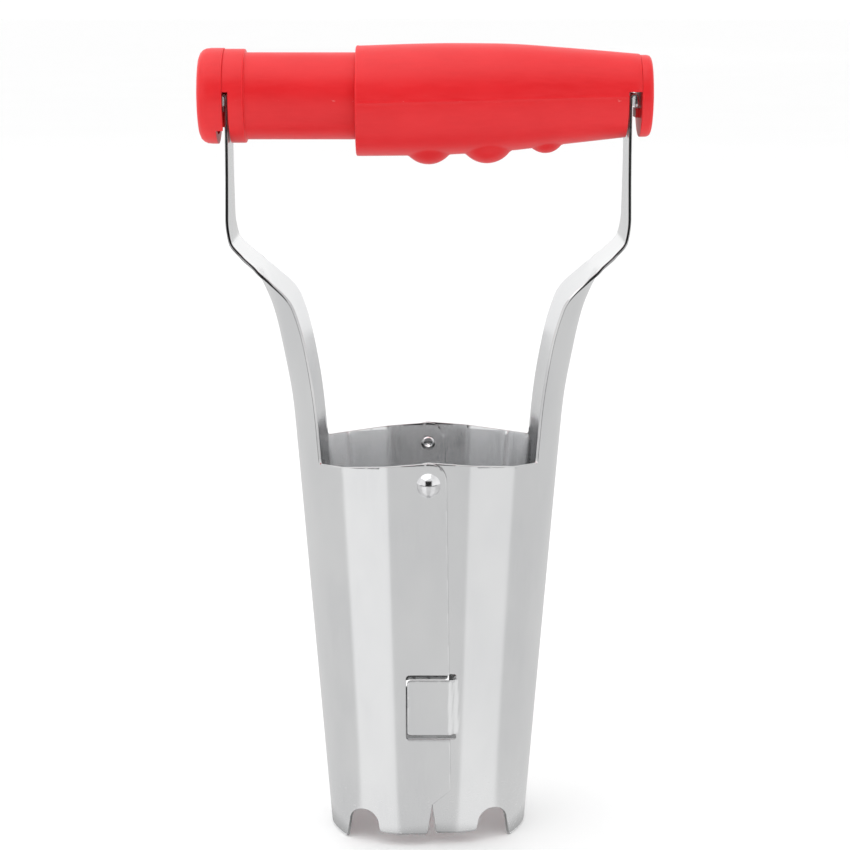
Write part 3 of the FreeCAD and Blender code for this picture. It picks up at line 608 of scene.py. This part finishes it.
def moulded_red(name, seam_shift):
    """Bright red moulded plastic: soft sheen, fine flow marks, and pale flash along its seams."""
    material, tree, shader = new_material(name)
    clouds = noise_field(tree, (60, 90, 90), 3.0)
    flow = noise_field(tree, (160, 900, 900), 4.0)
    skin = noise_field(tree, (2200, 2200, 2200), 3.0)
    rubs = noise_field(tree, (300, 3600, 3600), 5.0, 0.7)
    base = blended(tree, ranged(tree, clouds, 0.0, 1.0), (0.78, 0.014, 0.019, 1),
                   (0.84, 0.019, 0.025, 1))
    flowed = blended(tree, ranged(tree, flow, 0.0, 0.30), base, (0.88, 0.028, 0.034, 1))
    height = add(tree, "ShaderNodeSeparateXYZ",
                 {0: add(tree, "ShaderNodeTexCoord").outputs["Object"]}).outputs["Z"]
    offset = maths(tree, "SUBTRACT", height, (HANDLE_LEVEL + seam_shift) * MM)
    near_seam = ranged(tree, maths(tree, "ABSOLUTE", offset, 0.0), 1.0, 0.0, 0.0001, 0.0004)
    flecks = ranged(tree, noise_field(tree, (260, 500, 500), 5.0, 0.75), 0.0, 1.0, 0.62, 0.70)
    pale = maths(tree, "MULTIPLY", near_seam, flecks)
    whitened = blended(tree, maths(tree, "MULTIPLY", pale, 0.55), flowed, (0.95, 0.45, 0.42, 1))
    rubbed = ranged(tree, rubs, 0.0, 0.10, 0.62, 0.74)
    tree.links.new(blended(tree, rubbed, whitened, (0.9, 0.22, 0.21, 1)),
                   shader.inputs["Base Color"])
    rough = maths(tree, "ADD", ranged(tree, flow, 0.34, 0.44),
                  maths(tree, "MULTIPLY", rubbed, 1.5))
    tree.links.new(rough, shader.inputs["Roughness"])
    relief = maths(tree, "ADD", maths(tree, "MULTIPLY", skin, 0.35), flow)
    bump = add(tree, "ShaderNodeBump", {"Height": relief, "Strength": 0.35, "Distance": 0.00005})
    tree.links.new(bump.outputs["Normal"], shader.inputs["Normal"])
    shader.inputs["Specular IOR Level"].default_value = 0.32
    shader.inputs["Subsurface Weight"].default_value = 0.08
    shader.inputs["Subsurface Radius"].default_value = (0.004, 0.0008, 0.0006)
    shader.inputs["Subsurface Scale"].default_value = 0.5
    return material


SEAM_DROP = -0.8
tube_red = moulded_red("moulded_red_tube", SEAM_DROP)


def block(low, high):
    """A plain box between two corners, as a cutting tool or a small tab."""
    work = bmesh.new()
    middle = [(a + b) / 2 for a, b in zip(low, high)]
    sides = [b - a for a, b in zip(low, high)]
    bmesh.ops.create_cube(work, size=1.0,
                          matrix=Matrix.Translation(middle) @ Matrix.Diagonal((*sides, 1)))
    return work


def lifted(work):
    """Moves a mesh from the handle's own axis up to its level."""
    bmesh.ops.translate(work, vec=(0, 0, HANDLE_LEVEL), verts=work.verts[:])
    return work


def carved(piece, work, operation="DIFFERENCE"):
    """Cuts or joins another mesh, given about the handle's own axis, into a piece."""
    tool = new_piece("tool", lifted(work))
    change = piece.modifiers.new("carve", "BOOLEAN")
    change.solver = "EXACT"
    change.operation = operation
    change.object = tool
    settled(piece)
    bpy.data.objects.remove(tool)


def plastic_piece(piece, material, node, body):
    """Crisp edges, one material, and the place of a moulding in the handle."""
    piece.data.set_sharp_from_angle(angle=math.radians(32))
    piece.data.materials.clear()
    piece.data.materials.append(material)
    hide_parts(node)
    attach(piece, body)


def outline_points(corners):
    """A rounded outline as plain pairs, for turning."""
    return [tuple(point) for point in rounded(corners)]


def add_tube():
    band_end = TUBE_START + BAND_WIDTH
    wall_in, wall_out = band_end - SPRING_WALL / 2, band_end + SPRING_WALL / 2
    skin = outline_points([
        (TUBE_START, TUBE_BORE, 0.2), (TUBE_START, BAND_RADIUS, 0.25),
        (band_end, BAND_RADIUS, 0.5), (band_end, TUBE_RADIUS, 0.35),
        (TUBE_END, TUBE_RADIUS, 0.5), (TUBE_END, TUBE_BORE, 0.3),
        (wall_out, TUBE_BORE, 0), (wall_out, 0, 0), (wall_in, 0, 0), (wall_in, TUBE_BORE, 0),
    ])
    piece = new_piece("sliding_tube", lifted(turned(skin, 144)))
    slot = -ARM_REACH + SHEET + SLOT_PLAY
    carved(piece, block((TUBE_START - 5, -20, -20), (slot, 20, SLOT_TOP)))
    plastic_piece(piece, tube_red, "handle_tube", "tube")


add_tube()


# ---------------------------------------------------------------- left end cap
# A hollow domed cap pressed into the tube's mouth.  Its half-round plug and its nib hold the
# arm's rolled tip; the wall is cut away underneath, where the arm swings.

CAP_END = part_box("left_end_cap")[0].x / MM
CAP_RADIUS, CAP_WALL, CAP_ROUND = 13.1, 2.6, 5.5
PLUG_WALL, PLUG_ARC = 2.5, 130
NIB_HALF, NIB_HEIGHT = 4.0, 2.5
NIB_TOP = ROLL_TOP - HANDLE_LEVEL - ROLL_GAP / 2 - SHEET - HOOK_LEG - SLOT_PLAY
RELIEF_DROP, RELIEF_HALF = 4.5, 9.4
HOOK_RISE = 1.0
FUSED, END_PLAY = 0.5, 0.2
SQUEEZE = max(joint["range_deg"][1] for joint in frame["joints"]
              if joint["name"] == "left_arm_pivot")


def plug(start, end, bore):
    """A half-round plug over the arm's tip, about the handle's axis."""
    work = bmesh.new()
    half = math.radians(PLUG_ARC / 2)
    rings = []
    for n in range(25):
        angle = half * (n / 12 - 1)
        rings.append([work.verts.new((along, radius * math.sin(angle), radius * math.cos(angle)))
                      for along, radius in ((start, bore - PLUG_WALL), (end, bore - PLUG_WALL),
                                            (end, bore), (start, bore))])
    for one, two in zip(rings, rings[1:]):
        for n in range(4):
            work.faces.new((one[n], one[(n + 1) % 4], two[(n + 1) % 4], two[n]))
    work.faces.new(rings[0][::-1])
    work.faces.new(rings[-1])
    bmesh.ops.recalc_face_normals(work, faces=work.faces[:])
    return work


def nib_reach():
    """How far out the nib starts, clear of the swinging arm."""
    lever = HOOK_LEG + SLOT_PLAY + NIB_HEIGHT
    return ARM_REACH + lever * math.sin(math.radians(SQUEEZE)) + SLOT_PLAY


def add_left_cap():
    inside, floor = CAP_RADIUS - CAP_WALL, CAP_END + CAP_WALL
    skin = outline_points([
        (CAP_END, 0, 0), (CAP_END, CAP_RADIUS, CAP_ROUND), (TUBE_START, CAP_RADIUS, 0.25),
        (TUBE_START, inside, 0.2), (floor, inside, 0.8), (floor, 0, 0),
    ])
    piece = new_piece("domed_cap_left", lifted(turned(skin, 144)))
    deep_end = TUBE_START + BAND_WIDTH - SPRING_WALL / 2 - END_PLAY
    carved(piece, plug(floor - FUSED, deep_end, TUBE_BORE), "UNION")
    nib = block((floor - FUSED, -NIB_HALF, NIB_TOP - NIB_HEIGHT),
                (-nib_reach(), NIB_HALF, NIB_TOP))
    carved(piece, nib, "UNION")
    swing = -ARM_REACH - (CAP_RADIUS + HOOK_RISE) * math.sin(math.radians(SQUEEZE)) - SLOT_PLAY
    carved(piece, block((swing, -RELIEF_HALF, -20), (TUBE_START + 1, RELIEF_HALF, -RELIEF_DROP)))
    plastic_piece(piece, tube_red, "left_end_cap", "tube")


add_left_cap()


# ---------------------------------------------------------------- grip sleeve
# The half that the palm holds: a tapered swell in the same red plastic, with three finger bumps
# underneath and a line of flash where its mould closed, front and back.

GRIP_START, GRIP_END = (corner.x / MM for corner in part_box("grip_sleeve"))
GRIP_RADII = [15.1, 15.3, 14.8, 13.1, 11.2]
GRIP_DROPS = [-1.4, -0.98, -0.49, 0.0, 0.28]
GRIP_BORE, GRIP_BORE_END = 12.3, 34.96
SPRING_BORE, SPRING_SEAT = 8.95, 46.55
STUB_BORE, STUB_FLOOR = 8.0, 48.55
FINGERS = [(0.0, 18.8, 7.6), (16.2, 18.5, 8.0), (32.4, 15.7, 5.5)]
FLASH_HEIGHT, FLASH_WIDTH = 0.16, 0.9
LIP_ROUND = 0.45


def along_grip(values, x):
    stops = [between(GRIP_START, GRIP_END, n / 4) for n in range(5)]
    return eased(stops, values, x)


def grip_radius(x, angle):
    """Distance from the grip's own centre line to its skin; angle is measured from below."""
    radius = along_grip(GRIP_RADII, x)
    centre = along_grip(GRIP_DROPS, x)
    for middle, drop, ball in FINGERS:
        ring = ball ** 2 - (x - middle) ** 2
        if ring <= 0:
            continue
        offset = centre + drop - ball
        forward = offset * math.cos(angle)
        under = ring - offset ** 2 + forward ** 2
        if under <= 0:
            continue
        bump = forward + math.sqrt(under)
        blend = 0.35
        mix = max(blend - abs(radius - bump), 0.0) / blend
        radius = max(radius, bump) + mix * mix * blend / 4
    seam = min(abs(angle - math.pi / 2), abs(angle - 3 * math.pi / 2)) * radius
    ragged = 0.55 + 0.45 * noise.noise(Vector((x * 0.9, angle, 4.0)))
    return radius + FLASH_HEIGHT * ragged * max(0.0, 1 - (seam / (FLASH_WIDTH / 2)) ** 2)


def grip_angles():
    """Angles round the grip, closer together under the fingers and at the mould's closing lines."""
    even = [math.tau * n / 150 for n in range(150)]
    close = [line + step for line in (math.pi / 2, 3 * math.pi / 2)
             for step in (-0.035, -0.022, -0.011, 0.0, 0.011, 0.022, 0.035)]
    kept = [a for a in even if min(abs(a - b) for b in close) > 0.012]
    return sorted(kept + close)


def add_grip():
    work = bmesh.new()
    angles = grip_angles()
    length = GRIP_END - GRIP_START
    stations = [(0.0, LIP_ROUND), (0.06, LIP_ROUND * 0.55), (0.2, LIP_ROUND * 0.2), (0.45, 0.0)]
    stations += [(x, 0.0) for x in (1.0 + 0.62 * n for n in range(int((length - 2) / 0.62)))]
    stations += [(length - 0.3, 0.0), (length - 0.08, 0.08), (length, 0.28)]
    rings = []
    for along, inset in stations:
        x = GRIP_START + along
        centre = along_grip(GRIP_DROPS, x)
        ring = []
        for angle in angles:
            ragged = 0.12 * noise.noise(Vector((angle * 6, along, 1.0))) if along < 0.5 else 0.0
            radius = grip_radius(x, angle) - inset + ragged
            ring.append(work.verts.new((x, -radius * math.sin(angle),
                                        centre - radius * math.cos(angle))))
        rings.append(ring)
    for one, two in zip(rings, rings[1:]):
        for n in range(len(angles)):
            after = (n + 1) % len(angles)
            work.faces.new((one[n], one[after], two[after], two[n]))
    work.faces.new(rings[0])
    work.faces.new(rings[-1][::-1])
    bmesh.ops.recalc_face_normals(work, faces=work.faces[:])
    piece = new_piece("palm_grip", lifted(work))
    bore = outline_points([
        (GRIP_START - 1, 0, 0), (GRIP_START - 1, GRIP_BORE, 0), (GRIP_BORE_END, GRIP_BORE, 0.6),
        (GRIP_BORE_END, SPRING_BORE, 0), (SPRING_SEAT, SPRING_BORE, 0.6), (SPRING_SEAT, 0, 0),
    ])
    carved(piece, turned(bore, 96))
    stub = [(STUB_FLOOR, 0), (STUB_FLOOR, STUB_BORE), (GRIP_END + 1, STUB_BORE), (GRIP_END + 1, 0)]
    carved(piece, turned(stub, 96))
    slot = ARM_REACH - SHEET - SLOT_PLAY
    carved(piece, block((slot, -20, -20), (GRIP_END + 1, 20, SLOT_TOP)))
    plastic_piece(piece, moulded_red("moulded_red_grip", SEAM_DROP), "grip_sleeve", "grip")


add_grip()


# ---------------------------------------------------------------- right end cap
# A shallow domed cap on the closed end of the grip, with the same plug and nib as the left one.

RIGHT_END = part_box("right_end_cap")[1].x / MM
DISC_RADIUS, DISC_ROUND = 11.2, 1.8


def add_right_cap():
    skin = outline_points([
        (GRIP_END, 0, 0), (GRIP_END, DISC_RADIUS, 0.3), (RIGHT_END, DISC_RADIUS, DISC_ROUND),
        (RIGHT_END, 0, 0),
    ])
    piece = new_piece("domed_cap_right", lifted(turned(skin, 144)))
    carved(piece, plug(STUB_FLOOR + END_PLAY, GRIP_END + FUSED, STUB_BORE), "UNION")
    nib = block((nib_reach(), -NIB_HALF, NIB_TOP - NIB_HEIGHT),
                (GRIP_END + FUSED, NIB_HALF, NIB_TOP))
    carved(piece, nib, "UNION")
    plastic_piece(piece, tube_red, "right_end_cap", "grip")


add_right_cap()


# ---------------------------------------------------------------- return spring
# A coil of hard-drawn wire inside the handle.  It pushes the tube out of the grip again.

SPRING_LOW, SPRING_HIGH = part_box("return_spring")
SPRING_TURNS = 16.0
WIRE_RADIUS = 0.6 * MM


def drawn_wire():
    """Grey drawn wire with fine lengthwise die lines and a film of oil."""
    material, tree, shader = new_material("drawn_wire")
    lines = noise_field(tree, (500, 3000, 3000), 4.0)
    colour = blended(tree, ranged(tree, lines, 0.0, 1.0), (0.36, 0.36, 0.37, 1),
                     (0.55, 0.55, 0.56, 1))
    tree.links.new(colour, shader.inputs["Base Color"])
    tree.links.new(ranged(tree, lines, 0.22, 0.38), shader.inputs["Roughness"])
    bump = add(tree, "ShaderNodeBump", {"Height": lines, "Strength": 0.2, "Distance": 0.00002})
    tree.links.new(bump.outputs["Normal"], shader.inputs["Normal"])
    shader.inputs["Metallic"].default_value = 1.0
    return material


def spring_tree(material):
    """A coil swept along a spiral, with named inputs for its sizes."""
    tree = bpy.data.node_groups.new("coil", "GeometryNodeTree")
    for name, kind in (("Turns", "NodeSocketFloat"), ("Radius", "NodeSocketFloat"),
                       ("Length", "NodeSocketFloat"), ("Wire", "NodeSocketFloat")):
        tree.interface.new_socket(name, in_out="INPUT", socket_type=kind)
    tree.interface.new_socket("Geometry", in_out="OUTPUT", socket_type="NodeSocketGeometry")
    sizes = tree.nodes.new("NodeGroupInput").outputs
    spiral = add(tree, "GeometryNodeCurveSpiral", {
        "Resolution": 40, "Rotations": sizes["Turns"], "Start Radius": sizes["Radius"],
        "End Radius": sizes["Radius"], "Height": sizes["Length"]})
    ring = add(tree, "GeometryNodeCurvePrimitiveCircle",
               {"Resolution": 14, "Radius": sizes["Wire"]})
    swept = add(tree, "GeometryNodeCurveToMesh", {
        "Curve": spiral.outputs["Curve"], "Profile Curve": ring.outputs["Curve"],
        "Fill Caps": True})
    real = add(tree, "GeometryNodeRealizeInstances", {"Geometry": swept.outputs["Mesh"]})
    finish = add(tree, "GeometryNodeSetMaterial",
                 {"Geometry": real.outputs["Geometry"], "Material": material})
    tree.links.new(finish.outputs["Geometry"], tree.nodes.new("NodeGroupOutput").inputs[0])
    return tree


def add_spring():
    piece = bpy.data.objects.new("return_coil", bpy.data.meshes.new("return_coil"))
    bpy.context.scene.collection.objects.link(piece)
    maker = piece.modifiers.new("coil", "NODES")
    maker.node_group = spring_tree(drawn_wire())
    length = SPRING_HIGH.x - SPRING_LOW.x - 2 * WIRE_RADIUS
    sizes = {
        "Turns": SPRING_TURNS,
        "Radius": (SPRING_HIGH.y - SPRING_LOW.y) / 2 - WIRE_RADIUS,
        "Length": length,
        "Wire": WIRE_RADIUS,
    }
    for socket in maker.node_group.interface.items_tree:
        if socket.in_out == "INPUT":
            maker[socket.identifier] = sizes[socket.name]
    settled(piece)
    middle = (SPRING_LOW + SPRING_HIGH) / 2
    start = Vector((SPRING_LOW.x + WIRE_RADIUS, middle.y, middle.z))
    piece.data.transform(Matrix.Translation(start) @ Matrix.Rotation(math.pi / 2, 4, "Y"))
    piece.data.shade_smooth()
    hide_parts("return_spring")
    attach(piece, "grip")
    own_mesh(piece)


add_spring()


# ---------------------------------------------------------------- table, light and camera
# A pale table out to the horizon, even light all round with a dark opening at the front, one
# large soft lamp overhead, and a glowing disc of painted grey and white reflections, with
# painted shade under the barrel, that only the steel's gloss picks up.

TABLE_RADIUS = 40.0
# The glowing disc that paints reflections on the steel: its size, its height just above the table,
# and the painted dark it shows far out.
PAINTED_REFLECTION_RADIUS, PAINTED_REFLECTION_LEVEL = 12.0, 0.0006
DARK = 0.03


def add_floor(name, radius, level, material):
    """A flat disc round the tool, facing up."""
    work = bmesh.new()
    ring = [work.verts.new((radius * math.cos(a), radius * math.sin(a), level))
            for a in (math.tau * n / 64 for n in range(64))]
    work.faces.new(ring)
    mesh = bpy.data.meshes.new(name)
    work.to_mesh(mesh)
    work.free()
    mesh.materials.append(material)
    floor = bpy.data.objects.new(name, mesh)
    bpy.context.scene.collection.objects.link(floor)
    return floor


def add_table():
    """A pale table top that runs out to the horizon."""
    material, tree, shader = new_material("pale_table")
    clouds = noise_field(tree, (3, 3, 3), 3.0)
    tree.links.new(blended(tree, clouds, (0.93, 0.93, 0.93, 1), (0.95, 0.95, 0.95, 1)),
                   shader.inputs["Base Color"])
    shader.inputs["Roughness"].default_value = 0.9
    shader.inputs["Specular IOR Level"].default_value = 0.1
    shader.inputs["Emission Color"].default_value = (1, 1, 1, 1)
    shader.inputs["Emission Strength"].default_value = 0.05
    add_floor("table", TABLE_RADIUS, 0.0, material)


def add_painted_reflections():
    """A glowing disc just above the table, seen only in the steel's gloss, painting reflections: a
    grey band before the tool with a white one on each side, painted shade inside the barrel, and
    beyond an arm's length painted dark."""
    material, tree, shader = new_material("painted_reflection_disc")
    place = add(tree, "ShaderNodeTexCoord").outputs["Object"]
    parts = add(tree, "ShaderNodeSeparateXYZ", {0: place}).outputs
    ahead = maths(tree, "MULTIPLY", parts["Y"], -1.0)
    azimuth = maths(tree, "ABSOLUTE", maths(tree, "ARCTAN2", parts["X"], ahead), 0.0)
    distance = add(tree, "ShaderNodeVectorMath", {0: place}, operation="LENGTH").outputs["Value"]
    # Painted reflections: white between about 20 and 50 degrees to each side of straight ahead,
    # grey elsewhere, a little lighter on the left.
    side_start = ranged(tree, azimuth, 0.0, 1.0, math.radians(14), math.radians(21))
    side_end = ranged(tree, azimuth, 1.0, 0.0, math.radians(48), math.radians(58))
    bright = maths(tree, "MULTIPLY", side_start, side_end)
    grey = ranged(tree, parts["X"], 0.715, 0.69, -0.1, 0.1)
    white = ranged(tree, parts["X"], 0.97, 0.88, -0.1, 0.1)
    near = add(tree, "ShaderNodeMix", {0: bright, 2: grey, 3: white}).outputs[0]
    # Painted dark: beyond about a metre towards the front, the disc goes dark.
    front = ranged(tree, azimuth, 1.0, 0.0, math.radians(60), math.radians(80))
    far = maths(tree, "MULTIPLY", ranged(tree, distance, 0.0, 1.0, 0.85, 1.15), front)
    # Painted shade: under the barrel the disc dims to 0.28, so the inside of the barrel mirrors
    # shade.
    under = ranged(tree, distance, 1.0, 0.0, 0.024, 0.034)
    shaded = add(tree, "ShaderNodeMix", {0: under, 2: near, 3: 0.28}).outputs[0]
    level = add(tree, "ShaderNodeMix", {0: far, 2: shaded, 3: DARK}).outputs[0]
    # The disc glows though it is no lamp: the steel mirrors this painted light.
    glow = add(tree, "ShaderNodeEmission", {"Strength": level})
    tree.links.new(glow.outputs[0], tree.nodes["Material Output"].inputs["Surface"])
    tree.nodes.remove(shader)
    sheet = add_floor("painted_reflection_disc", PAINTED_REFLECTION_RADIUS, PAINTED_REFLECTION_LEVEL, material)
    sheet.visible_camera = sheet.visible_diffuse = sheet.visible_shadow = False
    sheet.visible_transmission = False


def add_tent():
    """Even light from all round, darker in one opening towards the front."""
    world = bpy.data.worlds.new("tent")
    bpy.context.scene.world = world
    world.use_nodes = True
    tree = world.node_tree
    background = tree.nodes["Background"]
    direction = add(tree, "ShaderNodeTexCoord").outputs["Generated"]
    parts = add(tree, "ShaderNodeSeparateXYZ", {0: direction}).outputs
    front = ranged(tree, parts["Y"], 1.0, 0.0, -0.50, -0.35)
    aside = ranged(tree, maths(tree, "ABSOLUTE", parts["X"], 0.0), 1.0, 0.0, 0.38, 0.50)
    low = ranged(tree, parts["Z"], 0.0, 1.0, -0.14, -0.08)
    high = ranged(tree, parts["Z"], 1.0, 0.0, 0.55, 0.68)
    width = maths(tree, "MULTIPLY", front, aside)
    opening = maths(tree, "MULTIPLY", maths(tree, "MULTIPLY", low, high), width)
    tree.links.new(blended(tree, opening, (1.0, 1.0, 1.0, 1), (0.02, 0.02, 0.02, 1)),
                   background.inputs["Color"])
    background.inputs["Strength"].default_value = 1.06


def add_light(name, place, aim, size, power):
    lamp = bpy.data.lights.new(name, "AREA")
    lamp.shape = "RECTANGLE"
    lamp.size, lamp.size_y = size
    lamp.energy = power
    holder = bpy.data.objects.new(name, lamp)
    bpy.context.scene.collection.objects.link(holder)
    holder.location = place
    holder.rotation_euler = (Vector(aim) - Vector(place)).to_track_quat("-Z", "Y").to_euler()
    holder.visible_camera = False


def add_camera():
    """Eye level with the handle, half a metre away, looking a little down."""
    lens = bpy.data.cameras.new("camera")
    lens.sensor_width = 36.0
    lens.lens = 89.15
    camera = bpy.data.objects.new("camera", lens)
    bpy.context.scene.collection.objects.link(camera)
    camera.location = (-0.00097, -0.5884, 0.2349)
    camera.rotation_euler = (math.radians(78.74), 0, 0)
    bpy.context.scene.camera = camera
    bpy.context.scene.view_settings.view_transform = "Standard"


add_table()
add_painted_reflections()
add_tent()
add_light("overhead", (-0.4, -0.2, 1.4), (0, 0, 0.15), (1.6, 1.4), 6.0)
add_camera()
